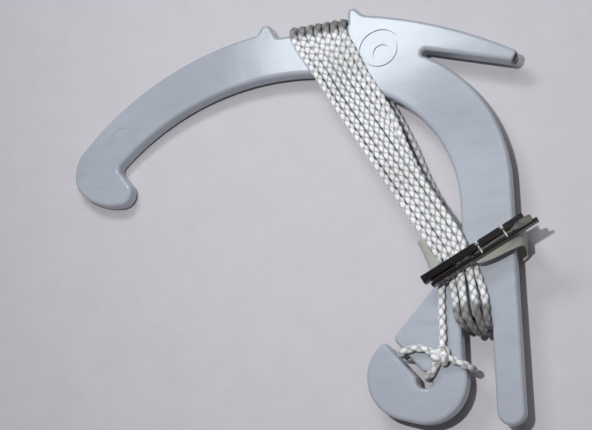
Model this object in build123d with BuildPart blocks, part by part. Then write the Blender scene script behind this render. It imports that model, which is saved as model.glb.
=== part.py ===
# Sock aid: a flat moulded frame, its pull cord wound on it and lashed to it, and an elastic keeper
# whose clamp lies across the winding and whose loop passes under the leg of the frame.
import os
from math import acos, atan2, cos, degrees, pi, radians, sin, sqrt, tan

from build123d import *

# Driving dimensions in millimetres. While it is drawn, the frame's underside is z = 0.
plate_thickness = 5.0
top_rounding = 1.3           # upper edges of the frame
under_rounding = 0.6         # lower edges of the frame

arm_centre = (0.8, -39.6)    # of the arm's outer edge
arm_radius = 109.2
arch_centre = (-2.1, -37.8)  # of the arch under the arm
arch_radius = 89.4
bay_centre = (13.6, -2.0)    # of the leg's inner edge
bay_radius = 46.75
brow_start = (29.6, 69.8)    # where the finger's upper edge leaves the right ear
brow_radius = 161.1
finger_end = (-0.9, -3.7)    # the finger's lower corner, from the end of that edge
notch = (51.2, 52.9)         # root of the notch under the finger
leg_centre = (23.75, 5.2)    # of the leg's outer edge, above its straight part
web_bow = (0.7, 1.5)         # where the bay and the arch run together, from halfway between them

hook_throat = (-0.6, -1.7)   # the hook's corners, from the end of the arch
hook_lip = (3.4, -6.7)
hook_tip = (0.6, -15.4)
hook_heel = (-0.8, -13.5)    # from the end of the arm
hook_tip_bow = 3.1           # how far each side of the hook stands out from its chord
hook_foot_bow = 2.4
hook_back_bow = 1.8

recess_left = -2.6           # the seat in the top edge that the cord is wound over
recess_right = 23.9
recess_edge = 66.7
ear_height = 5.6             # how far the two ears stand above that seat
ear_width = 3.0              # across the left ear's top
ear_lean = 3.0               # how far its inner side slopes
right_ear_width = 2.6
right_ear_rise = 0.7         # above the left ear

leg_edge = 76.7              # outer face of the leg
leg_tip = -70.6
leg_width = 8.4              # beside the fork
fork_gap = 9.4               # between the leg and the prong
crotch = -38.0               # root of that gap
fork_rounding = 3.2          # in the corners of that root
neck = -17.0                 # where the bay turns into the prong

hole_inset = 12.1            # from the prong's straight side to the hole's middle
hole_drop = -56.3
hole_diameter = 5.0
slot_width = 2.6
slot_reach = (-10.7, 12.4)   # to the slot's mouth, from the hole's middle
disc_radius = 13.35
lobe_shift = (-5.1, 1.3)     # to the middle of the disc's other round end

hub_centre = (35.3, 55.6)
hub_groove_radius = 6.7
hub_groove_width = 1.2
hub_dimple_centre = (36.0, 54.2)
hub_dimple_radius = 3.0
mould_mark_depth = 0.4
pin_mark_centre = (-64.0, 36.5)
pin_mark_diameter = 8.5
pin_mark_depth = 0.15

cord_diameter = 2.3
turns = 7
turn_pitch = 2.9             # between neighbouring turns along the seat
seat_margin = 0.9            # from the last turn to the right ear
cord_slack = 0.15            # between the cord and the frame that it lies on
layer_rise = 2.1             # a second layer of cord sits in the grooves of the first
lashing_slack = 0.55         # the lashing stands a little off the frame's edges
slot_place = 5.4             # how far inside the slot's mouth it passes
hole_place = (0.9, 0.6)      # where it passes the hole, from the hole's middle
rim_turn = 11                # where it passes the disc's rim, in degrees
knot_shift = (6.1, 6.8)      # from the hole's middle
knot_length = 6.6
knot_width = 5.6
knot_height = 4.4

clearance = 0.35             # between the keeper and what it slides over
band_thickness = 0.55
band_width = 10.5
band_top = -12.6             # upper edge of the loop on the leg
band_skew = 1.5              # how much higher it is on the leg's outer face
band_left = (46.6, 52.6)     # its upper and lower left corners, beside the winding
lens_points = ((62.0, -23.2), (68.5, -22.6))  # lower edge of its part that runs into the slit
strap_point = (50.2, -17.6)
band_slack = 2.2             # how far the loop stands off the leg's outer face
jaw_height = 3.0
upper_jaw_width = 2.5
lower_jaw_width = 1.0
jaw_bevel = 0.25
jaw_angle = 28.3
jaw_centre = (67.1, -19.5)   # middle of the slit
upper_jaw_ends = (-19.3, 16.6)
lower_jaw_ends = (-17.6, 19.6)
tongue_ends = (-17.0, -8.0, -2.5, 17.0)  # where the two ends of the band lie in the slit
tongue_inset = 0.4           # below the jaws' top
sheet_stop = 12.5            # how far along the slit the band runs in from the leg's side
rivet_head = 1.8             # diameter of the part that lies in the upper jaw's outer side
rivet_head_length = 1.5
rivet_head_rounding = 0.35
rivet_shank = 1.0            # diameter of the part that crosses the slit
rivet_height = 2.5           # of its axis, above the jaws' underside
rivet_reach = 0.6            # into the lower jaw
rivet_play = 0.04            # all round it
rivet_places = (0.5, 9.3)    # along the slit, from its middle


def on_circle(centre, radius, angle):
    return (centre[0] + radius * cos(radians(angle)), centre[1] + radius * sin(radians(angle)))


def arc_points(centre, radius, angles):
    return [on_circle(centre, radius, angle) for angle in angles]


def offset_from(point, step):
    return (point[0] + step[0], point[1] + step[1])


def bowed(start, end, bow):
    chord = Vector(end) - Vector(start)
    return Vector(start) + chord / 2 + chord.normalized().rotate(Axis.Z, 90) * bow


# ---- frame: one flat moulding ---------------------------------------------------------------
leg_inner = leg_edge - leg_width
prong_edge = leg_inner - fork_gap
hole_centre = (prong_edge - hole_inset, hole_drop)
ear_top = recess_edge + ear_height
ear_top_right = ear_top + right_ear_rise
ear_left = recess_left - ear_lean
arm_points = arc_points(arm_centre, arm_radius, (138.7, 117, 95.7))
arch_points = arc_points(arch_centre, arch_radius, (82.1, 108, 134.2))
brow_centre = Vector(brow_start) - Vector(on_circle((0, 0), brow_radius, 76.8))
brow_points = arc_points((brow_centre.X, brow_centre.Y), brow_radius, (76.8, 67, 56.7))
bay_points = arc_points(bay_centre, bay_radius, (61, 30, 0))
leg_points = arc_points(leg_centre, leg_edge - leg_centre[0], (59.2, 27, 0))
bay_corner = (bay_points[2][0], neck)
finger_tip = offset_from(brow_points[2], finger_end)
throat, lip, tip = (offset_from(arch_points[2], step) for step in (hook_throat, hook_lip, hook_tip))
heel = offset_from(arm_points[0], hook_heel)
hook_back = bowed(heel, arm_points[0], hook_back_bow)
web = (Vector(bay_points[0]) + Vector(arch_points[0])) / 2 + Vector(web_bow)

# the disc: two equal round ends, with the slot let into the hole in one of them
lobe_centre = offset_from(hole_centre, lobe_shift)
slot_mouth = offset_from(hole_centre, slot_reach)
lobe_turn = degrees(atan2(lobe_centre[1] - hole_centre[1], lobe_centre[0] - hole_centre[0])) - 270
prong_turn = degrees(acos((prong_edge - hole_centre[0]) / disc_radius))
disc_points = arc_points(hole_centre, disc_radius, (prong_turn, -40, lobe_turn))
lobe_points = arc_points(lobe_centre, disc_radius, (lobe_turn, 180, 123.3))
slot_run = Vector(hole_centre) - Vector(slot_mouth)
slot_along = slot_run.normalized()
slot_across = slot_along.rotate(Axis.Z, 90) * (slot_width / 2)
slot_stop = Vector(hole_centre) - slot_along * sqrt(hole_diameter ** 2 - slot_width ** 2) / 2
slot_end = Vector(hole_centre) + slot_along * hole_diameter / 2
prong_corner = Vector(slot_mouth) + slot_across

with BuildPart() as frame:
    with BuildSketch() as plan:
        with BuildLine():
            ThreePointArc(*arm_points)
            Polyline(arm_points[2], (ear_left - ear_width, ear_top), (ear_left, ear_top),
                     (recess_left, recess_edge), (recess_right, recess_edge), (recess_right, ear_top_right),
                     (recess_right + right_ear_width, ear_top_right), brow_points[0])
            ThreePointArc(*brow_points)
            finger = Polyline(brow_points[2], finger_tip, notch)
            TangentArc(notch, leg_points[0], tangent=finger % 1)
            ThreePointArc(*leg_points)
            Polyline(leg_points[2], (leg_edge, leg_tip), (leg_inner, leg_tip), (leg_inner, crotch),
                     (prong_edge, crotch), disc_points[0])
            ThreePointArc(*disc_points)
            Line(disc_points[2], lobe_points[0])
            ThreePointArc(*lobe_points)
            Line(lobe_points[2], slot_stop - slot_across)
            ThreePointArc(slot_stop - slot_across, slot_end, slot_stop + slot_across)
            Polyline(slot_stop + slot_across, prong_corner, bay_corner, bay_points[2])
            bay = ThreePointArc(*reversed(bay_points))
            arch = ThreePointArc(*arch_points)
            Spline(bay @ 1, web, arch @ 0, tangents=(bay % 1, arch % 0))
            Polyline(arch_points[2], throat, lip)
            ThreePointArc(lip, bowed(lip, tip, hook_tip_bow), tip)
            ThreePointArc(tip, bowed(tip, heel, hook_foot_bow), heel)
            ThreePointArc(heel, hook_back, arm_points[0])
        make_face()
        for corner, radius in ((arm_points[2], 2.0), ((ear_left - ear_width, ear_top), 1.7),
                               ((ear_left, ear_top), 1.7), ((recess_left, recess_edge), 2.0),
                               ((recess_right, recess_edge), 0.8), ((recess_right, ear_top_right), 1.7),
                               ((recess_right + right_ear_width, ear_top_right), 1.6), (brow_points[0], 4.0),
                               (brow_points[2], 2.0), (finger_tip, 2.0), (leg_points[0], 3.0),
                               ((leg_edge, leg_tip), leg_width * 0.49),
                               ((leg_inner, leg_tip), leg_width * 0.49), ((leg_inner, crotch), fork_rounding),
                               ((prong_edge, crotch), fork_rounding),
                               (disc_points[0], 8.0), (prong_corner, 1.8), (bay_corner, 8.0),
                               (lobe_points[2], 1.5), (slot_stop - slot_across, 1.5),
                               (slot_stop + slot_across, 1.5), (arch_points[2], 2.0),
                               (throat, 2.0), (lip, 3.0), (tip, 4.0), (heel, 5.0), (arm_points[0], 10.0)):
            fillet(plan.vertices().sort_by_distance(Vector(*corner))[0], radius)
    extrude(amount=plate_thickness)
    fillet(frame.edges().group_by(Axis.Z)[-1], top_rounding)
    fillet(frame.edges().group_by(Axis.Z)[0], under_rounding)
    # moulding marks: the hub's groove and dimple, and the ring left by an ejector pin
    with BuildSketch(Plane.XY.offset(plate_thickness)):
        with Locations(hub_centre):
            Circle(hub_groove_radius + hub_groove_width / 2)
            Circle(hub_groove_radius - hub_groove_width / 2, mode=Mode.SUBTRACT)
        with Locations(hub_dimple_centre):
            Circle(hub_dimple_radius)
    extrude(amount=-mould_mark_depth, mode=Mode.SUBTRACT)
    with BuildSketch(Plane.XY.offset(plate_thickness)):
        with Locations(pin_mark_centre):
            Circle(pin_mark_diameter / 2)
    extrude(amount=-pin_mark_depth, mode=Mode.SUBTRACT)
frame.part.label = "frame"

# ---- pull cord: the winding, one closed outer shape that the frame passes through --------------
front_low = plate_thickness + cord_slack
front_single = front_low + cord_diameter
front_top = front_single + layer_rise
back_top = -cord_slack
back_single = back_top - cord_diameter
back_low = back_single - layer_rise
wrap_depth = cord_diameter + cord_slack
seat_right = recess_right - seat_margin
seat_left = seat_right - turns * turn_pitch
seat_points = ((seat_left, recess_edge), (seat_right, recess_edge))
fork_points = ((leg_inner - cord_slack, crotch - cord_slack), (prong_edge + cord_slack, crotch - cord_slack))
ribbon_right = ((27.2, 54.7), (38.6, 34.9), (44.9, 18.5), (51.2, 4.8), (59.2, -10.5), (67.4, -32.0))
ribbon_left = ((56.4, -32.0), (53.8, -22.5), (10.6, 50.4))

with BuildPart() as cord_winding:
    for low, high in ((front_low, front_single), (back_single, back_top)):
        with BuildSketch(Plane.XY.offset(low)):
            with BuildLine():
                Polyline(*seat_points, *ribbon_right, *fork_points, *ribbon_left, close=True)
            make_face()
        extrude(amount=high - low)
    for low, high in ((front_single, front_top), (back_low, back_single)):
        with BuildSketch(Plane.XY.offset(low)):
            with BuildLine():
                Polyline(*ribbon_right[3:], *fork_points, *ribbon_left[:2], (41.0, 0.5), close=True)
            make_face()
        extrude(amount=high - low)
    # over the seat in the top edge
    with BuildSketch(Plane.XY.offset(back_single)):
        with Locations((seat_left, recess_edge + cord_slack)):
            Rectangle(seat_right - seat_left, cord_diameter, align=(Align.MIN, Align.MIN))
    extrude(amount=front_single - back_single)
    for low, high in ((front_low, front_single), (back_single, back_top)):
        with BuildSketch(Plane.XY.offset(low)):
            with Locations((seat_left, recess_edge - cord_slack)):
                Rectangle(seat_right - seat_left, 3 * cord_slack, align=(Align.MIN, Align.MIN))
        extrude(amount=high - low)
    # round the root of the fork
    with BuildSketch(Plane.XY.offset(back_low)) as wrap:
        with Locations((prong_edge + fork_gap / 2, crotch - cord_slack)):
            Rectangle(fork_gap - 2 * cord_slack, cord_diameter + layer_rise, align=(Align.CENTER, Align.MAX))
        fillet(wrap.vertices().group_by(Axis.Y)[-1], fork_rounding - cord_slack)
    extrude(amount=front_top - back_low)
cord_winding.part.label = "cord_winding"

# ---- pull cord: the lashing on the prong --------------------------------------------------------
lying = plate_thickness + lashing_slack + cord_diameter / 2
under = -lashing_slack - cord_diameter / 2
slot_pass = Vector(slot_mouth) + slot_along * slot_place
rim_pass = Vector(on_circle(hole_centre, disc_radius + lashing_slack + cord_diameter / 2, rim_turn))
hole_pass = Vector(hole_centre) + Vector(hole_place)

tail_points = [(54.0, -29.6, lying), (53.4, -36.5, lying), (53.6, -42.5, lying), (53.3, -47.5, lying)]
loop_points = [(50.9, -48.6, lying), (45.6, -46.3, lying), (slot_pass.X, slot_pass.Y, lying),
               (slot_pass.X, slot_pass.Y, under), (50.0, -51.6, under), (rim_pass.X, rim_pass.Y, under),
               (rim_pass.X, rim_pass.Y, lying), (55.0, -50.2, lying)]
end_points = [(51.3, -51.2, lying), (50.2, -54.6, lying), (hole_pass.X, hole_pass.Y, lying),
              (hole_pass.X, hole_pass.Y, plate_thickness * 0.3)]


def bend_radii(points):
    radii = []
    for before, corner, after in zip(points, points[1:], points[2:]):
        first = Vector(corner) - Vector(before)
        second = Vector(after) - Vector(corner)
        turn = radians(first.get_angle(second))
        radii.append(0.45 * min(first.length, second.length) / tan(turn / 2))
    return radii


def cord_tube(points):
    radii = bend_radii(points)
    with BuildPart() as tube:
        with BuildLine():
            route = FilletPolyline(*points, radius=radii)
        with BuildSketch(Plane(origin=route @ 0, z_dir=route % 0)):
            Circle(cord_diameter / 2)
        sweep(path=route)
    straight = pi * cord_diameter ** 2 / 4 * route.length
    print("bend radii", [round(radius, 1) for radius in radii], "length", round(route.length, 1),
          "volume over section times length", round(tube.part.volume / straight, 3))
    return tube


cord_tail = cord_tube(tail_points)
cord_tail.part.label = "cord_tail"
lashing_loop = cord_tube(loop_points)
lashing_loop.part.label = "lashing_loop"
lashing_end = cord_tube(end_points)
lashing_end.part.label = "lashing_end"

with BuildPart() as lashing_knot:
    with BuildSketch(Plane.XY.offset(front_low)):
        with Locations(offset_from(hole_centre, knot_shift)):
            Ellipse(knot_length / 2, knot_width / 2)
    extrude(amount=knot_height)
    fillet(lashing_knot.edges().filter_by(GeomType.ELLIPSE), knot_height * 0.4)
lashing_knot.part.label = "lashing_knot"

# ---- keeper: two jaws riveted together over the ends of an elastic band -------------------------
band_low = back_low - clearance - band_thickness
jaw_low = front_top + clearance + band_thickness
jaw_slit = 2 * band_thickness
band_right = leg_edge + band_slack
jaw_plane = Plane(origin=(*jaw_centre, jaw_low), z_dir=(0, 0, 1)).rotated((0, 0, jaw_angle))


def jaw(ends, width, side):
    with BuildPart() as strip:
        with BuildSketch(jaw_plane):
            with Locations(((ends[0] + ends[1]) / 2, side * (jaw_slit + width) / 2)):
                Rectangle(ends[1] - ends[0], width)
        extrude(amount=jaw_height)
        chamfer(strip.edges().group_by(Axis.Z)[-1], jaw_bevel)
    return strip


# each rivet's axis points from the slit's middle to the lower jaw
rivet_spots = [jaw_plane * Location((place, 0, rivet_height), (90, 0, 0)) for place in rivet_places]


def rivet(play, mode=Mode.ADD):
    outside = -jaw_slit / 2 - upper_jaw_width
    shank_start = outside + rivet_head_length
    for spot in rivet_spots:
        with Locations(spot * Location((0, 0, shank_start + play))):
            Cylinder(rivet_head / 2 + play, rivet_head_length + play, mode=mode,
                     align=(Align.CENTER, Align.CENTER, Align.MAX))
        with Locations(spot * Location((0, 0, shank_start))):
            Cylinder(rivet_shank / 2 + play, jaw_slit / 2 + rivet_reach - shank_start + play, mode=mode,
                     align=(Align.CENTER, Align.CENTER, Align.MIN))


keeper_jaw_upper = jaw(upper_jaw_ends, upper_jaw_width, 1)
with keeper_jaw_upper:
    rivet(rivet_play, Mode.SUBTRACT)
keeper_jaw_upper.part.label = "keeper_jaw_upper"
keeper_jaw_lower = jaw(lower_jaw_ends, lower_jaw_width, -1)
with keeper_jaw_lower:
    rivet(rivet_play, Mode.SUBTRACT)
keeper_jaw_lower.part.label = "keeper_jaw_lower"

with BuildPart() as keeper_rivets:
    rivet(0)
    fillet(keeper_rivets.edges().filter_by(GeomType.CIRCLE).filter_by(
        lambda edge: edge.radius == rivet_head / 2), rivet_head_rounding)
keeper_rivets.part.label = "keeper_rivets"

# the band: a sheet under the leg and the winding, up both sides, and into the slit between the jaws
band_bottom = band_top - band_width
left_top = (band_left[0], band_top)
left_bottom = (band_left[1], band_bottom)
right_top = (band_right + band_thickness, band_top + band_skew)
right_bottom = (band_right + band_thickness, band_bottom + band_skew)
wall_shift = Vector(left_bottom[1] - left_top[1], left_top[0] - left_bottom[0]).normalized() * band_thickness
slit_spots = [jaw_plane.from_local_coords(Vector(along, 0, 0)) for along in (*tongue_ends[:3], sheet_stop)]

with BuildPart() as keeper_band:
    with BuildSketch(Plane.XY.offset(band_low)):
        with BuildLine():
            Polyline(left_top, left_bottom, right_bottom, right_top, close=True)
        make_face()
    extrude(amount=band_thickness)
    with BuildSketch(Plane.XY.offset(band_low)):
        with BuildLine():
            Polyline(left_top, left_bottom, Vector(left_bottom) - wall_shift, Vector(left_top) - wall_shift,
                     close=True)
        make_face()
        with Locations((band_right, band_bottom + band_skew)):
            Rectangle(band_thickness, band_width, align=(Align.MIN, Align.MIN))
    extrude(amount=jaw_low - band_low)
    with BuildSketch(Plane.XY.offset(jaw_low - band_thickness)):
        with BuildLine():
            Polyline((slit_spots[2].X, slit_spots[2].Y), *lens_points, right_bottom, right_top,
                     (slit_spots[3].X, slit_spots[3].Y), close=True)
        make_face()
        with BuildLine():
            Polyline(left_bottom, (slit_spots[0].X, slit_spots[0].Y), (slit_spots[1].X, slit_spots[1].Y),
                     strap_point, close=True)
        make_face()
    extrude(amount=band_thickness)
    for start, stop in (tongue_ends[:2], tongue_ends[2:]):
        with BuildSketch(jaw_plane.offset(-band_thickness)):
            with Locations((start, 0)):
                Rectangle(stop - start, jaw_slit, align=(Align.MIN, Align.CENTER))
        extrude(amount=band_thickness + jaw_height - tongue_inset)
    rivet(rivet_play, Mode.SUBTRACT)
keeper_band.part.label = "keeper_band"

# ---- how it lies: on the hook, on the band's lower left corner and on the cord at the seat -------
hook_rest = hook_back + Vector(2 * under_rounding, 0, 0)
band_rest = Vector(left_bottom[0], left_bottom[1], band_low)
seat_rest = Vector(seat_left, recess_edge + wrap_depth, back_single)
upright = (band_rest - hook_rest).cross(seat_rest - hook_rest).normalized()
ground = Plane(origin=hook_rest, x_dir=Vector(1, 0, 0) - upright * upright.X, z_dir=upright)
pieces = {
    "frame": frame, "cord_winding": cord_winding, "cord_tail": cord_tail, "lashing_loop": lashing_loop,
    "lashing_end": lashing_end, "lashing_knot": lashing_knot, "keeper_band": keeper_band,
    "keeper_jaw_upper": keeper_jaw_upper, "keeper_jaw_lower": keeper_jaw_lower,
    "keeper_rivets": keeper_rivets,
}
tilt = ground.location.inverse()
hard = [piece.part.moved(tilt) for name, piece in pieces.items() if not name.startswith(("cord", "lashing"))]
extent = Compound(children=hard).bounding_box()
middle = extent.center()
laid = Location((-middle.X, -middle.Y, -extent.min.Z)) * tilt
print("laid", laid, "extent", extent.size)

os.makedirs("parts", exist_ok=True)
for name, piece in pieces.items():
    piece.part.location = laid * piece.part.location
    export_step(piece.part, f"parts/{name}.step")
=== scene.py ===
import math
import random

import bpy
import numpy as np
from mathutils import Euler, Matrix, Vector


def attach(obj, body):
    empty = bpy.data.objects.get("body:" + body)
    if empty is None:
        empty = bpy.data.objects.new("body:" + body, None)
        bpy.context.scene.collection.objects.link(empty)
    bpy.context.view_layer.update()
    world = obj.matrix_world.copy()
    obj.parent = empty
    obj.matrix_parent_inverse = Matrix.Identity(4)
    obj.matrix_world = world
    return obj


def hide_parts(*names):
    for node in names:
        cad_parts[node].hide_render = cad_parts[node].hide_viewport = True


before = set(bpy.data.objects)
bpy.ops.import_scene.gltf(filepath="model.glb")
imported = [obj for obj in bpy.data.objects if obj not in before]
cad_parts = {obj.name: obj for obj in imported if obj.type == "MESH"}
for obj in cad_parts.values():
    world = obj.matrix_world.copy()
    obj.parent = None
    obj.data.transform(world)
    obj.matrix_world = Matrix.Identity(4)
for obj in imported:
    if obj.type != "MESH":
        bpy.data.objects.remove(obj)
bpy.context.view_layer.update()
mm = 0.001

# The whole object lies tilted on the table. Its pieces are drawn in the flat frame's own axes, in
# millimetres, with the frame's underside at z = 0, and then laid with this one matrix.
lay = {"turn": (-0.76012, -2.03899, -0.027046), "move": (-0.56726, -1.22843, 3.62097)}
tilt = Euler([math.radians(angle) for angle in lay["turn"]], "ZYX")
laid = Matrix.Translation(lay["move"]) @ tilt.to_matrix().to_4x4()
unlaid = laid.inverted()


def placed(point):
    return (laid @ Vector(point)) * mm


view = {
    "position": (121.5, -91.5, 305.0),
    "right": (0.93212, 0.0, -0.36215),
    "up": (0.09926, 0.96170, 0.25548),
    "back": (0.34828, -0.27409, 0.89642),
    "lens": 60.81,
    "sensor": 36,
    "nearest": 0.01,           # metres
    "farthest": 10,
}
camera = bpy.data.objects.new("camera", bpy.data.cameras.new("camera"))
bpy.context.collection.objects.link(camera)
axes = Matrix([view["right"], view["up"], view["back"]]).transposed().to_4x4()
stand = laid @ Matrix.Translation(view["position"]) @ axes
stand.translation *= mm
camera.matrix_world = stand
camera.data.sensor_width = view["sensor"]
camera.data.lens = view["lens"]
camera.data.clip_start = view["nearest"]
camera.data.clip_end = view["farthest"]
bpy.context.scene.camera = camera
print("camera placed")

cord = {
    "diameter": 2.3,
    "turns": 7,
    "length": 1.80,            # metres, from its end in the disc's hole to its end behind the winding
    "braidPitch": 3.2,         # along one yarn's repeat
    "ringStep": 0.4,
    "sides": 14,
    "wander": 0.10,            # how far a strand strays from its neighbours
    "seed": 4,
    "off": 0.15,               # clear of the frame's faces
    "core": 0.77,              # of the radius, in the braid's grooves
    "bead": 0.28,              # of the radius, from groove to crown
    "roundness": 0.55,         # of a bead, lower is blunter
}
plate = {"top": 5.0, "seat": 66.7, "crotch": -38.0}
front = plate["top"] + cord["off"] + cord["diameter"] / 2      # heights of a strand that lies on the plate
back = -cord["off"] - cord["diameter"] / 2
across = Vector((0.8585, 0.5127, 0))                      # of the winding, left to right
along = Vector((0.5127, -0.8585, 0))                      # of the winding, from the seat to the fork
windingHead = Vector((13, 52, 0))

# from the end in the hole, through the knot, round the prong, back through the knot and up the tail
lashingRoute = [
    (47.7, -55.7, 1.5), (47.7, -55.7, 6.9), (50.2, -54.6, 6.9), (51.3, -51.2, 6.7), (52.6, -49.9, 6.4),
    (50.9, -48.6, 6.7), (45.6, -46.3, 6.7), (39.63, -48.0, 6.7), (39.63, -48.0, -1.7), (50.0, -51.6, -1.7),
    (61.57, -53.4, -1.7), (61.57, -53.4, 6.7), (55.0, -50.2, 6.7), (53.2, -49.2, 8.2),
    (53.3, -47.5, 6.9), (53.6, -42.5, 6.4), (53.4, -36.5, 6.4), (53.6, -30.0, 6.4),
]


def between(value, stops):
    for (a, first), (b, second) in zip(stops, stops[1:]):
        if value <= b:
            share = min(max((value - a) / (b - a), 0), 1)
            share = share * share * (3 - 2 * share)
            return first + (second - first) * share
    return stops[-1][1]


# Where strand number k runs across the winding, and how far it stands off the plate, at a distance
# from the winding's head. Low strands slip under their neighbours on the way down.
frontPlan = {
    "across": [[(0, -1.2 + 2.5 * k), (12, -1.85 + 2.38 * k), (28, -1.85 + 2.36 * k), (60, -1.85 + 2.33 * k)]
               for k in range(5)]
              + [[(0, 11.3), (12, 10.05), (28, 9.95), (36, 9.2), (45, 6.9), (60, 5.0)],
                 [(0, 13.8), (12, 12.45), (28, 12.3), (36, 11.35), (45, 9.1), (60, 7.2)]],
    "rise": [[(0, 0)]] * 3 + [[(28, 0), (36, 0.3), (45, 0.7), (60, 1.5), (72, 2.1)]] * 2
            + [[(28, 0), (36, -1.5), (45, -1.8), (60, -0.9), (72, 0)]] * 2,
    "stops": (2, 13, 24, 34, 44, 54, 64, 74, 83),
}
backPlan = {
    "across": [[(0, -0.6 + 2.5 * k), (28, -0.9 + 2.36 * k), (60, -1.4 + 2.33 * k)] for k in range(4)]
              + [[(0, 9.4), (28, 8.55), (36, 7.9), (45, 6.0), (60, 3.6)],
                 [(0, 11.9), (28, 10.95), (36, 10.2), (45, 8.0), (60, 5.95)],
                 [(0, 14.4), (28, 13.3), (40, 12.2), (50, 9.6), (60, 8.1)]],
    "rise": [[(0, 0)]] * 2 + [[(28, 0), (36, 1.5), (45, 2.2)]] * 2 + [[(0, 0)]] * 2
            + [[(24, 0), (34, 1.6), (44, 2.3)]],
    "stops": (2, 13, 24, 34, 44, 54, 64, 74, 83),
    "lastStops": (2, 13, 24, 34, 44, 54, 64),              # the cord's end is tucked in behind
}
# where each front strand leaves the fork: x, y and how far off the plate
lowFront = [None, (57.6, -31.0, 0), (60.1, -31.2, 0), (60.6, -31.0, 2.1), (63.9, -31.2, 2.0),
            (64.2, -31.4, 0), (67.0, -31.2, 0)]
# up through the fork, from behind, for a strand of the inner row and one of the outer row:
# shift across, reach past the crotch, height, share of the strand's lean
forkBends = [
    [(-1.0, 5.5, back, 0), (0, -2.3, back - 0.3, 0), (0, -2.7, 2.2, 0), (0, -2.3, 5.6, 0.3),
     (0, -0.1, 7.2, 1)],
    [(-1.0, 5.5, back - 2.1, 0), (0, -3.6, back - 2.2, 0), (0, -4.2, -0.5, 0), (0, -3.9, 5.4, 0.3),
     (0, 0.2, 9.2, 1)],
]
forkLeans = [None, -1.9, -1.0, -2.4, -1.2, 0, 0]
forkPlaces = [None, (60.15, 0), (62.5, 0), (63.7, 1), (66.0, 1), (64.85, 0), (67.15, 0)]      # x, row
# over the seat: the first strand's x and the step to the next, reach before and past the seat's edge,
# and how far off the lying strands
seat = {"first": 4.4, "pitch": 3.03, "before": -3.5, "beyond": 1.8, "off": 0.1}


def strand(k, plan, base, side, stops):
    points = []
    for distance in stops:
        shift = between(distance, plan["across"][k]) + random.uniform(-1, 1) * cord["wander"]
        rise = between(distance, plan["rise"][k])
        spot = windingHead + along * distance + across * shift
        points.append((spot.x, spot.y, base + side * rise))
    return points


def windingRoute():
    random.seed(cord["seed"])
    points = []
    for k in range(cord["turns"]):
        up = strand(k, frontPlan, front, 1, frontPlan["stops"])
        if k:
            x, y, rise = lowFront[k]
            up.append((x, y, front + rise))
        points += reversed(up)
        seatX = seat["first"] + seat["pitch"] * k
        near, far = plate["seat"] + seat["before"], plate["seat"] + seat["beyond"]
        above, below = front + seat["off"], back - seat["off"]
        points += [(seatX, near, above), (seatX, far, above), (seatX, far, below), (seatX, near, below)]
        last = k == cord["turns"] - 1
        points += strand(k, backPlan, back, -1, backPlan["lastStops" if last else "stops"])
        if not last:
            forkX, row = forkPlaces[k + 1]
            points += [(forkX + shift + forkLeans[k + 1] * lean, plate["crotch"] + reach, height)
                       for shift, reach, height, lean in forkBends[row]]
    return points


route = lashingRoute + windingRoute()
curve = bpy.data.curves.new("pullCordRoute", "CURVE")
curve.dimensions = "3D"
curve.resolution_u = 12
spline = curve.splines.new("NURBS")
spline.points.add(len(route) - 1)
for point, place in zip(spline.points, route):
    point.co = (*placed(place), 1)
spline.order_u = 3
spline.use_endpoint_u = True
routeObject = bpy.data.objects.new("pullCordRoute", curve)
line = bpy.data.meshes.new_from_object(routeObject)
linePoints = np.array([vertex.co for vertex in line.vertices])
bpy.data.objects.remove(routeObject)


def linked(name, mesh):
    piece = bpy.data.objects.new(name, mesh)
    bpy.context.collection.objects.link(piece)
    return piece


# a smooth mesh whose surface also knows where it lies, across and along its cloth or braid
def clothPiece(name, places, faces, corners):
    mesh = bpy.data.meshes.new(name)
    mesh.from_pydata(places, [], faces)
    mesh.uv_layers.new(name="lie").data.foreach_set("uv", np.array(corners).ravel())
    mesh.polygons.foreach_set("use_smooth", [True] * len(faces))
    return linked(name, mesh)


def evenly(points, step):
    gaps = np.linalg.norm(np.diff(points, axis=0), axis=1)
    distance = np.concatenate([[0], np.cumsum(gaps)])
    wanted = np.linspace(0, distance[-1], max(int(distance[-1] / step), 4))
    return np.stack([np.interp(wanted, distance, points[:, axis]) for axis in range(3)], axis=1), wanted


# two directions square to the line at each point, carried along it without a twist
def turnedFrames(points):
    tangents = np.gradient(points, axis=0)
    tangents /= np.linalg.norm(tangents, axis=1)[:, None]
    normal = np.cross(tangents[0], (0.9, 0.7, 0.3))
    sideways = []
    for tangent in tangents:
        normal = normal - tangent * normal.dot(tangent)
        normal /= np.linalg.norm(normal)
        sideways.append(normal.copy())
    sideways = np.array(sideways)
    return tangents, sideways, np.cross(tangents, sideways)


# A round braid: its crossings stand out as beads in four columns, each half a repeat from the next.
def braidHeight(angle, distance, pitch):
    wave = np.cos(2 * angle) + np.cos(2 * np.pi * distance / pitch)
    return (np.abs(wave) / 2) ** cord["roundness"]


# The cord is painted dark where it bends over the seat and through the fork, partly as rubbed dirt and partly
# as painted shade, and behind the plate and along the lashing as painted shade. Each row is a place and how
# dark.
grimeAndShadeZone = {
    "seat": [(62.6, 0), (65.2, 1)],            # by y
    "behind": [(-2.0, 0), (0.6, 0.75)],        # by depth under the plate's back, painted shade
    "behindShare": 0.6,                        # of that, away from the fork
    "fork": [(32.8, 0), (36.0, 1)],            # by -y
    "lashing": [(48, 0), (58, 0.45)],
    "forkSpan": (-45, 0),
    "forkLeft": 56,
}


# how dark the cord is painted at a point: rubbed dirt and painted shade
def dirtAndShade(place):
    x, y, z = unlaid @ (Vector(place) / mm)
    behind = between(-z, grimeAndShadeZone["behind"])
    lowest, highest = grimeAndShadeZone["forkSpan"]
    if x < grimeAndShadeZone["forkLeft"] or not lowest < y < highest:
        return max(between(y, grimeAndShadeZone["seat"]), behind * grimeAndShadeZone["behindShare"],
                   between(-y, grimeAndShadeZone["lashing"]))
    return max(behind, between(-y, grimeAndShadeZone["fork"]))


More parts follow.
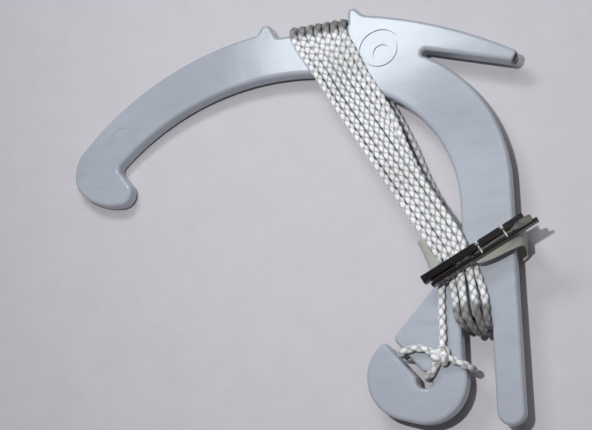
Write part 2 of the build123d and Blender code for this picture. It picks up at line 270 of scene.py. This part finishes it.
# strands side by side on the seat are pressed flat, more so towards its edge
flattened = {"rise": [(46, 0), (62, 1)], "wider": 0.24, "sideways": (1, 0, 0)}
seatSide = np.array((laid.to_3x3() @ Vector(flattened["sideways"])).normalized())


def braidedTube(name, points, radius, step, sides, pitch):
    centres, distance = evenly(points, step)
    tangents, sideways, upward = turnedFrames(centres)
    angles = np.arange(sides) * 2 * np.pi / sides
    height = braidHeight(angles[None, :], distance[:, None], pitch)
    reach = radius * (cord["core"] + cord["bead"] * height)
    ring = (sideways[:, None, :] * np.cos(angles)[None, :, None]
            + upward[:, None, :] * np.sin(angles)[None, :, None])
    ring *= reach[..., None]
    spread = seatSide[None, :] - tangents * (tangents @ seatSide)[:, None]
    spread /= np.linalg.norm(spread, axis=1)[:, None]
    pressed = np.array([between((unlaid @ (Vector(centre) / mm)).y, flattened["rise"]) for centre in centres])
    share = (ring * spread[:, None, :]).sum(axis=2)
    ring += spread[:, None, :] * (share * pressed[:, None] * flattened["wider"])[..., None]
    places = (centres[:, None, :] + ring).reshape(-1, 3)
    rings = len(centres)
    repeats = distance / pitch
    faces, corners = [], []
    for i in range(rings - 1):
        for j in range(sides):
            after = (j + 1) % sides
            faces.append((i * sides + j, i * sides + after, (i + 1) * sides + after, (i + 1) * sides + j))
            corners += [(j / sides, repeats[i]), ((j + 1) / sides, repeats[i]),
                        ((j + 1) / sides, repeats[i + 1]), (j / sides, repeats[i + 1])]
    faces += [tuple(reversed(range(sides))), tuple((rings - 1) * sides + j for j in range(sides))]
    corners += [(0, 0)] * (2 * sides)
    piece = clothPiece(name, places.tolist(), faces, corners)
    crown = piece.data.attributes.new("crown", "FLOAT", "POINT")
    crown.data.foreach_set("value", height.ravel())
    # per point, how dark the cord is painted for rubbed dirt and painted shade
    grimeAndShade = piece.data.attributes.new("grimeAndShade", "FLOAT", "POINT")
    grimeAndShade.data.foreach_set("value", [dirtAndShade(place) for place in places])
    return piece, centres


braid = (cord["diameter"] / 2 * mm, cord["ringStep"] * mm, cord["sides"], cord["braidPitch"] * mm)
pullCord, cordLine = braidedTube("pullCord", linePoints, *braid)
cordLength = float(np.linalg.norm(np.diff(cordLine, axis=0), axis=1).sum())
print("pull cord wound, metres:", round(cordLength, 3))

# the knot of the lashing, a trefoil drawn tight
knot = {"centre": (52.9, -49.5, 7.4), "size": 0.74, "height": 1.0, "turn": 25, "steps": 96}
knotPoints = []
for number in range(knot["steps"] + 1):
    t = 2 * math.pi * number / knot["steps"]
    spot = Vector((math.sin(t) + 2 * math.sin(2 * t), math.cos(t) - 2 * math.cos(2 * t), 0)) * knot["size"]
    spot.rotate(Euler((0, 0, math.radians(knot["turn"]))))
    spot.z = -math.sin(3 * t) * knot["height"]
    knotPoints.append(placed(Vector(knot["centre"]) + spot))
lashingKnot, _ = braidedTube("lashingKnot", np.array(knotPoints), *braid)

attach(pullCord, "holder")
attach(lashingKnot, "holder")
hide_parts("cord_winding", "cord_tail", "lashing_loop", "lashing_end")
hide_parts("lashing_knot")

band = {
    "thickness": 0.5,
    "strips": 14,              # across the band
    "steps": 6,                # between two rows
    "flat": (0.010, 0.077),    # metres, before it is stretched round
}
# each row holds the band's upper edge and its lower edge at one place along it
bandRows = [
    ((82.0, -11.4, 12.8), (64.9, -20.7, 12.8)), ((82.0, -11.5, 11.2), (64.9, -20.7, 11.2)),
    ((81.6, -11.9, 10.3), (64.3, -21.4, 10.25)), ((81.4, -12.6, 9.9), (66.0, -22.6, 10.0)),
    ((81.0, -12.7, 9.2), (70.2, -21.7, 9.8)), ((80.6, -12.3, 8.4), (74.2, -20.0, 9.4)),
    ((80.2, -11.7, 7.0), (77.6, -18.4, 8.4)), ((79.7, -11.2, 4.9), (79.4, -17.5, 6.2)),
    ((79.4, -10.9, 1.5), (79.5, -17.6, 1.5)), ((79.2, -10.9, -2.2), (79.2, -18.2, -2.4)),
    ((78.4, -11.1, -4.5), (78.4, -19.2, -4.6)), ((75.0, -11.5, -5.15), (75.0, -20.6, -5.15)),
    ((64.0, -12.3, -5.15), (65.0, -22.1, -5.15)), ((51.0, -12.8, -5.15), (56.0, -22.9, -5.15)),
    ((47.8, -12.9, -4.7), (53.1, -23.1, -4.7)), ((46.2, -12.7, -2.2), (51.6, -23.0, -2.2)),
    ((45.9, -12.6, 2.5), (50.9, -23.4, 2.5)), ((46.9, -12.5, 5.8), (51.0, -24.2, 6.6)),
    ((48.7, -12.8, 7.4), (51.4, -25.0, 8.8)), ((51.0, -16.6, 8.7), (51.5, -25.8, 9.6)),
    ((54.4, -20.9, 9.8), (51.6, -26.8, 9.95)),
    ((59.3, -23.5, 10.8), (51.9, -27.6, 10.8)), ((59.7, -23.5, 12.8), (52.3, -27.6, 12.8)),
]


def smoothRows(rows, steps):
    made = []
    for i in range(len(rows) - 1):
        four = [rows[max(i - 1, 0)], rows[i], rows[i + 1], rows[min(i + 2, len(rows) - 1)]]
        for step in range(steps):
            t = step / steps
            weights = (-0.5 * t + t ** 2 - 0.5 * t ** 3, 1 - 2.5 * t ** 2 + 1.5 * t ** 3,
                       0.5 * t + 2 * t ** 2 - 1.5 * t ** 3, -0.5 * t ** 2 + 0.5 * t ** 3)
            made.append([sum((Vector(row[side]) * w for row, w in zip(four, weights)), Vector())
                         for side in (0, 1)])
    made.append([Vector(side) for side in rows[-1]])
    return made


def elasticBand():
    rows = smoothRows(bandRows, band["steps"])
    strips = band["strips"]
    places, faces, lie = [], [], []
    for upper, lower in rows:
        places += [placed(upper.lerp(lower, j / strips)) for j in range(strips + 1)]
    distance = [0.0]
    for before, after in zip(rows, rows[1:]):
        distance.append(distance[-1] + ((after[0] + after[1]) / 2 - (before[0] + before[1]) / 2).length)
    for i in range(len(rows) - 1):
        for j in range(strips):
            first = i * (strips + 1) + j
            faces.append((first, first + 1, first + strips + 2, first + strips + 1))
            lie += [(j / strips, distance[i]), ((j + 1) / strips, distance[i]),
                    ((j + 1) / strips, distance[i + 1]), (j / strips, distance[i + 1])]
    piece = clothPiece("elasticBand", places, faces, lie)
    skin = piece.modifiers.new("thickness", "SOLIDIFY")
    skin.thickness = band["thickness"] * mm
    skin.offset = 0
    smooth = piece.modifiers.new("smooth", "SUBSURF")
    smooth.levels = smooth.render_levels = 1
    return piece, distance[-1]


elastic, bandLength = elasticBand()

# The band's two ends show in the slit between the jaws, and its folded end lies over the jaws' right ends.
slit = {"middle": (67.1, -19.5), "turn": 28.3}
# along the slit: half the width, lowest and highest point
foldStations = [
    (-1.6, 0.30, 11.2, 12.7), (0.0, 0.46, 11.2, 13.1), (6.0, 0.5, 11.2, 13.2), (11.0, 0.52, 11.2, 13.25),
    (12.6, 0.8, 13.0, 13.7), (14.0, 1.15, 13.48, 14.1), (16.5, 1.3, 13.48, 14.15),
    (17.9, 1.25, 13.48, 14.05), (18.4, 0.9, 13.5, 13.8),
]
foldShape = {"sides": 20, "steps": 8, "square": 0.55}      # a lower square power gives squarer corners


def elasticEnds():
    turn = Matrix.Rotation(math.radians(slit["turn"]), 4, "Z")
    sides, steps = foldShape["sides"], foldShape["steps"]
    stations = [Vector(station) for station in foldStations]
    rows = []
    for before, after in zip(stations, stations[1:]):
        rows += [before.lerp(after, step / steps) for step in range(steps)]
    rows.append(stations[-1])
    places, faces, lie = [], [], []
    for reach, halfWidth, lowest, highest in rows:
        for side in range(sides):
            angle = math.tau * side / sides
            c, d = (math.copysign(abs(share) ** foldShape["square"], share)
                    for share in (math.cos(angle), math.sin(angle)))
            spot = turn @ Vector((reach, c * halfWidth, (lowest + highest) / 2 + d * (highest - lowest) / 2))
            places.append(placed(spot + Vector((*slit["middle"], 0))))
    for i in range(len(rows) - 1):
        for j in range(sides):
            after = (j + 1) % sides
            faces.append((i * sides + j, (i + 1) * sides + j, (i + 1) * sides + after, i * sides + after))
            lie += [(j / sides, rows[i][0]), (j / sides, rows[i + 1][0]),
                    ((j + 1) / sides, rows[i + 1][0]), ((j + 1) / sides, rows[i][0])]
    last = (len(rows) - 1) * sides
    faces += [tuple(range(sides)), tuple(reversed(range(last, last + sides)))]
    lie += [(0, 0)] * (2 * sides)
    return clothPiece("elasticEnds", places, faces, lie)


bandEnds = elasticEnds()
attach(bandEnds, "keeper")
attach(elastic, "keeper")
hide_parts("keeper_band")
print("elastic band made")


# a socket, and the sums that can be done with it
class Wire:
    def __init__(self, tree, socket=None):
        self.tree = tree
        self.socket = socket

    def node(self, kind, settings=None, inputs=None, output=0):
        made = self.tree.nodes.new("ShaderNode" + kind)
        for name, value in (settings or {}).items():
            setattr(made, name, value)
        for name, value in (inputs or {}).items():
            self.plug(made.inputs[name], value)
        return Wire(self.tree, made.outputs[output])

    def plug(self, target, value):
        if isinstance(value, Wire):
            self.tree.links.new(value.socket, target)
        else:
            target.default_value = value

    def maths(self, operation, *values):
        return self.node("Math", {"operation": operation}, dict(enumerate(values)))

    def __add__(self, other):
        return self.maths("ADD", self, other)

    def __sub__(self, other):
        return self.maths("SUBTRACT", self, other)

    def __rsub__(self, other):
        return self.maths("SUBTRACT", other, self)

    def __mul__(self, other):
        return self.maths("MULTIPLY", self, other)

    def __truediv__(self, other):
        return self.maths("DIVIDE", self, other)

    def __pow__(self, other):
        return self.maths("POWER", self, other)

    __radd__ = __add__
    __rmul__ = __mul__

    def stepUp(self, low, high):
        return self.node("MapRange", {"interpolation_type": "SMOOTHSTEP"}, {"Value": self, 1: low, 2: high})

    def mixed(self, first, second):
        return self.node("Mix", {"data_type": "RGBA"}, {0: self, 6: first, 7: second}, output=2)

    def bumped(self, strength):
        return self.node("Bump", None, {"Height": self, "Distance": 1.0, "Strength": strength})


def srgb(red, green, blue):
    def linear(value):
        share = value / 255
        return share / 12.92 if share <= 0.04045 else ((share + 0.055) / 1.055) ** 2.4
    return (linear(red), linear(green), linear(blue), 1.0)


def newMaterial(name, **fixed):
    material = bpy.data.materials.new(name)
    material.use_nodes = True
    tree = material.node_tree
    shader = tree.nodes["Principled BSDF"]
    for socket, value in fixed.items():
        shader.inputs[socket].default_value = value
    pen = Wire(tree)
    return material, pen, shader.inputs, pen.node("TexCoord", output=3)


def noise(pen, where, scale, detail=3.0, roughness=0.5):
    return pen.node("TexNoise", None, {"Vector": where, "Scale": scale, "Detail": detail,
                                       "Roughness": roughness})


def stretched(pen, where, scales):
    return pen.node("Mapping", None, {"Vector": where, "Scale": scales})


framePlastic = {
    "colour": srgb(161, 166, 176),
    "pale": srgb(168, 174, 184),
    "dull": srgb(151, 156, 165),
    "fingerEndShade": srgb(52, 54, 54),
    "dullShare": 0.35,
    "roughness": 0.15,
    "cloudRoughness": 0.07,    # added where the colour is pale
    "scratchRoughness": 0.10,
    "ripple": 0.00016,         # metres
    "grain": 0.000004,
    "scratch": 0.000003,
    "end": (82.2, 44.8, 2.5),  # painted shade round this point at the finger's end
    "fingerEndShadeReach": (3.4, 4.6),
}


def framePlasticMaterial():
    material, pen, shader, where = newMaterial("framePlastic", **{
        "IOR": 1.5, "Subsurface Weight": 0.12, "Subsurface Scale": 0.003})
    cloud = noise(pen, where, 28, 3).stepUp(0.35, 0.7)
    flow = noise(pen, stretched(pen, where, (30, 90, 30)), 3, 4).stepUp(0.45, 0.75)
    specks = noise(pen, where, 900, 2).stepUp(0.70, 0.78)
    scratches = noise(pen, stretched(pen, where, (1500, 90, 90)), 1, 2).stepUp(0.68, 0.76)
    body = cloud.mixed(framePlastic["colour"], framePlastic["pale"])
    body = (flow * framePlastic["dullShare"]).mixed(body, framePlastic["dull"])
    body = (specks * framePlastic["dullShare"]).mixed(body, framePlastic["dull"])
    # the finger's end is painted dark as shade, where its end wall is unlit and its shadow falls
    end = placed(framePlastic["end"])
    away = pen.node("VectorMath", {"operation": "DISTANCE"}, {0: where, 1: end}, output=1)
    outsideEndShade = (away / mm + noise(pen, where, 400, 2)).stepUp(*framePlastic["fingerEndShadeReach"])
    pen.plug(shader["Base Color"], outsideEndShade.mixed(framePlastic["fingerEndShade"], body))
    pen.plug(shader["Roughness"], framePlastic["roughness"] + cloud * framePlastic["cloudRoughness"]
             + scratches * framePlastic["scratchRoughness"])
    height = (noise(pen, where, 75, 2) * framePlastic["ripple"]
              + noise(pen, where, 1600, 2) * framePlastic["grain"] - scratches * framePlastic["scratch"])
    pen.plug(shader["Normal"], height.bumped(0.8))
    return material


cordYarn = {
    # crown is a painted highlight on the braid's beads, groove is painted shade between them
    "crown": srgb(242, 242, 244),
    "groove": srgb(136, 136, 139),
    "worn": srgb(196, 196, 192),
    # dark for rubbed dirt and for painted shade
    "rubbedAndShaded": srgb(76, 75, 68),
    "grooveShare": 0.8,
    "wornShare": 0.5,
    "fibreShare": 0.25,
    "rubbedAndShadedShare": (0.74, 0.2),    # all over, and more where it is worn too
    "fibre": 0.00012,              # metres
}


def cordMaterial():
    material, pen, shader, where = newMaterial("cordYarn", **{
        "Roughness": 0.62, "Sheen Weight": 0.15, "Subsurface Weight": 0.1, "Subsurface Scale": 0.0006})
    crown = pen.node("Attribute", {"attribute_name": "crown"}, output=2)
    rubbedAndShaded = pen.node("Attribute", {"attribute_name": "grimeAndShade"}, output=2)
    fibres = noise(pen, stretched(pen, pen.node("UVMap", {"uv_map": "lie"}), (60, 5, 1)), 1.0)
    worn = noise(pen, where, 60, 3).stepUp(0.4, 0.75)
    # the braid's grooves are painted dark as shade between its beads, and its crowns light as a painted
    # highlight
    groove = (1 - crown.stepUp(0.20, 0.75)) * cordYarn["grooveShare"]
    yarn = (worn * cordYarn["wornShare"]).mixed(cordYarn["crown"], cordYarn["worn"])
    yarn = (fibres.stepUp(0.4, 0.7) * cordYarn["fibreShare"]).mixed(yarn, cordYarn["worn"])
    yarn = groove.mixed(yarn, cordYarn["groove"])
    # painted dark at the bends for rubbed dirt and painted shade, and behind the plate and on the lashing for
    # painted shade
    allOver, more = cordYarn["rubbedAndShadedShare"]
    pen.plug(shader["Base Color"], (rubbedAndShaded * (allOver + worn * more)).mixed(yarn, cordYarn["rubbedAndShaded"]))
    pen.plug(shader["Normal"], (fibres * cordYarn["fibre"]).bumped(0.8))
    return material


elasticWeave = {
    "rib": srgb(196, 198, 190),
    "gap": srgb(148, 149, 141),
    "fleck": srgb(206, 207, 203),
    # dark for flecks of dirt and for painted shade between the jaws
    "dirtAndShade": srgb(48, 43, 38),
    "ribs": 18,
    "picks": 2.2,              # weft threads in a millimetre
    "pickShare": 0.3,
    "fleckShare": 0.4,
    "fleckSoil": 0.2,
    "relief": 0.00014,         # metres
    "entry": (2.4, 3.4),       # painted black as shade from the first end to here, where it is held in the slit
    "exit": (6.0, 4.0),        # and from here to the last end
    # the band's ends, in the slit and folded over the jaws, are painted dark all over; in the slit this is
    # painted shade
    "endShade": 0.75,
}


def elasticMaterial(name, shadeAllOver, length=None):
    material, pen, shader, where = newMaterial(name, **{"Roughness": 0.7, "Sheen Weight": 0.1})
    lie = pen.node("UVMap", {"uv_map": "lie"})
    acrossBand = pen.node("SeparateXYZ", None, {"Vector": lie})
    alongBand = pen.node("SeparateXYZ", None, {"Vector": lie}, output=1)
    ribs = pen.maths("SINE", acrossBand * (math.tau * elasticWeave["ribs"])) * 0.5 + 0.5
    picks = pen.maths("SINE", alongBand * (math.tau * elasticWeave["picks"])) * 0.5 + 0.5
    thread = ribs ** 0.6 * ((1 - elasticWeave["pickShare"]) + picks * elasticWeave["pickShare"])
    fleck = noise(pen, where, 700, 3).stepUp(0.5, 0.72)
    colour = thread.mixed(elasticWeave["gap"], elasticWeave["rib"])
    colour = (fleck * elasticWeave["fleckShare"]).mixed(colour, elasticWeave["fleck"])
    # darker for flecks of dirt, and painted shade where the band is held between the jaws
    grimeAndShade = fleck * elasticWeave["fleckSoil"] + shadeAllOver
    if length:
        grimeAndShade = pen.maths("MAXIMUM", grimeAndShade, 1 - alongBand.stepUp(*elasticWeave["entry"]))
        leaving, held = (length - reach for reach in elasticWeave["exit"])
        grimeAndShade = pen.maths("MAXIMUM", grimeAndShade, alongBand.stepUp(leaving, held))
    pen.plug(shader["Base Color"], grimeAndShade.mixed(colour, elasticWeave["dirtAndShade"]))
    pen.plug(shader["Normal"], (thread * elasticWeave["relief"]).bumped(0.9))
    return material


jawPlastic = {
    "black": srgb(24, 20, 21),
    "worn": srgb(52, 47, 46),
    "wornShare": 0.6,
    "roughness": (0.22, 0.25),     # where it is unworn, and how much more where it is worn
    "ripple": 0.0001,              # metres
}


def jawMaterial():
    material, pen, shader, where = newMaterial("jawPlastic", **{"IOR": 1.45, "Specular IOR Level": 0.3})
    worn = noise(pen, where, 260, 3).stepUp(0.58, 0.8)
    unworn, more = jawPlastic["roughness"]
    colour = (worn * jawPlastic["wornShare"]).mixed(jawPlastic["black"], jawPlastic["worn"])
    pen.plug(shader["Base Color"], colour)
    pen.plug(shader["Roughness"], unworn + worn * more)
    pen.plug(shader["Normal"], (noise(pen, where, 420, 2) * jawPlastic["ripple"]).bumped(0.5))
    return material


rivetMetal = {
    "metal": srgb(238, 238, 238),
    "dull": srgb(186, 184, 182),
    "roughness": (0.42, 0.15),     # where it is bright, and how much more where it is dull
}


def rivetMaterial():
    material, pen, shader, where = newMaterial("rivetMetal", **{"Metallic": 1.0})
    tarnish = noise(pen, where, 900, 3).stepUp(0.45, 0.7)
    bright, more = rivetMetal["roughness"]
    pen.plug(shader["Base Color"], tarnish.mixed(rivetMetal["metal"], rivetMetal["dull"]))
    pen.plug(shader["Roughness"], bright + tarnish * more)
    return material


def dress(piece, material):
    piece.data.materials.clear()
    piece.data.materials.append(material)


cordLook, jawLook = cordMaterial(), jawMaterial()
dress(pullCord, cordLook)
dress(lashingKnot, cordLook)
dress(elastic, elasticMaterial("elasticWeave", 0.0, bandLength))
dress(bandEnds, elasticMaterial("elasticShadedEnds", elasticWeave["endShade"]))
dress(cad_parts["frame"], framePlasticMaterial())
dress(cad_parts["keeper_jaw_upper"], jawLook)
dress(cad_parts["keeper_jaw_lower"], jawLook)
dress(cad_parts["keeper_rivets"], rivetMaterial())
print("materials assigned")

table = {
    "size": 1.6,               # metres
    "paper": srgb(197, 194, 199),
    "shade": srgb(191, 188, 193),
    "tooth": 0.0004,
}


def tableTop():
    mesh = bpy.data.meshes.new("tableTop")
    half = table["size"] / 2
    corners = [(-half, -half, 0), (half, -half, 0), (half, half, 0), (-half, half, 0)]
    mesh.from_pydata(corners, [], [(0, 1, 2, 3)])
    top = linked("tableTop", mesh)
    material, pen, shader, where = newMaterial("paper", **{"Roughness": 0.85})
    blotch = noise(pen, where, 60, 6, 0.75).stepUp(0.2, 0.8)
    pen.plug(shader["Base Color"], blotch.mixed(table["paper"], table["shade"]))
    pen.plug(shader["Normal"], (noise(pen, where, 260, 4) * table["tooth"]).bumped(0.3))
    dress(top, material)
    return top


tableTop()

# place, what it points at, size, watts, colour, and whether gloss mirrors it: the key is a bare flash,
# and its mirror spot would hide the leg
lamps = {
    "key": ((46, -24, 345), (34, 0, 5), (9, 9), 0.78, (1, 1, 1), False),
    "window": ((-56, 222, 305), (20, 58, 5), (150, 80), 0.50, (0.88, 0.95, 1.0), True),
    "ceiling": ((150, 230, 600), (70, 50, 0), (340, 340), 0.52, (1, 1, 1), True),
}
ambient = 0.11
for name, (place, target, size, watts, colour, mirrored) in lamps.items():
    light = bpy.data.lights.new(name, "AREA")
    light.shape = "RECTANGLE"
    light.size, light.size_y = (side * mm for side in size)
    light.energy = watts
    light.color = colour
    lamp = linked(name, light)
    lamp.location = placed(place)
    lamp.rotation_euler = (placed(target) - placed(place)).to_track_quat("-Z", "Y").to_euler()
    lamp.visible_glossy = mirrored
world = bpy.data.worlds.new("studio")
world.use_nodes = True
world.node_tree.nodes["Background"].inputs["Color"].default_value = (1, 1, 1, 1)
world.node_tree.nodes["Background"].inputs["Strength"].default_value = ambient
bpy.context.scene.world = world
bpy.context.scene.view_settings.view_transform = "Standard"
print("table and light set")
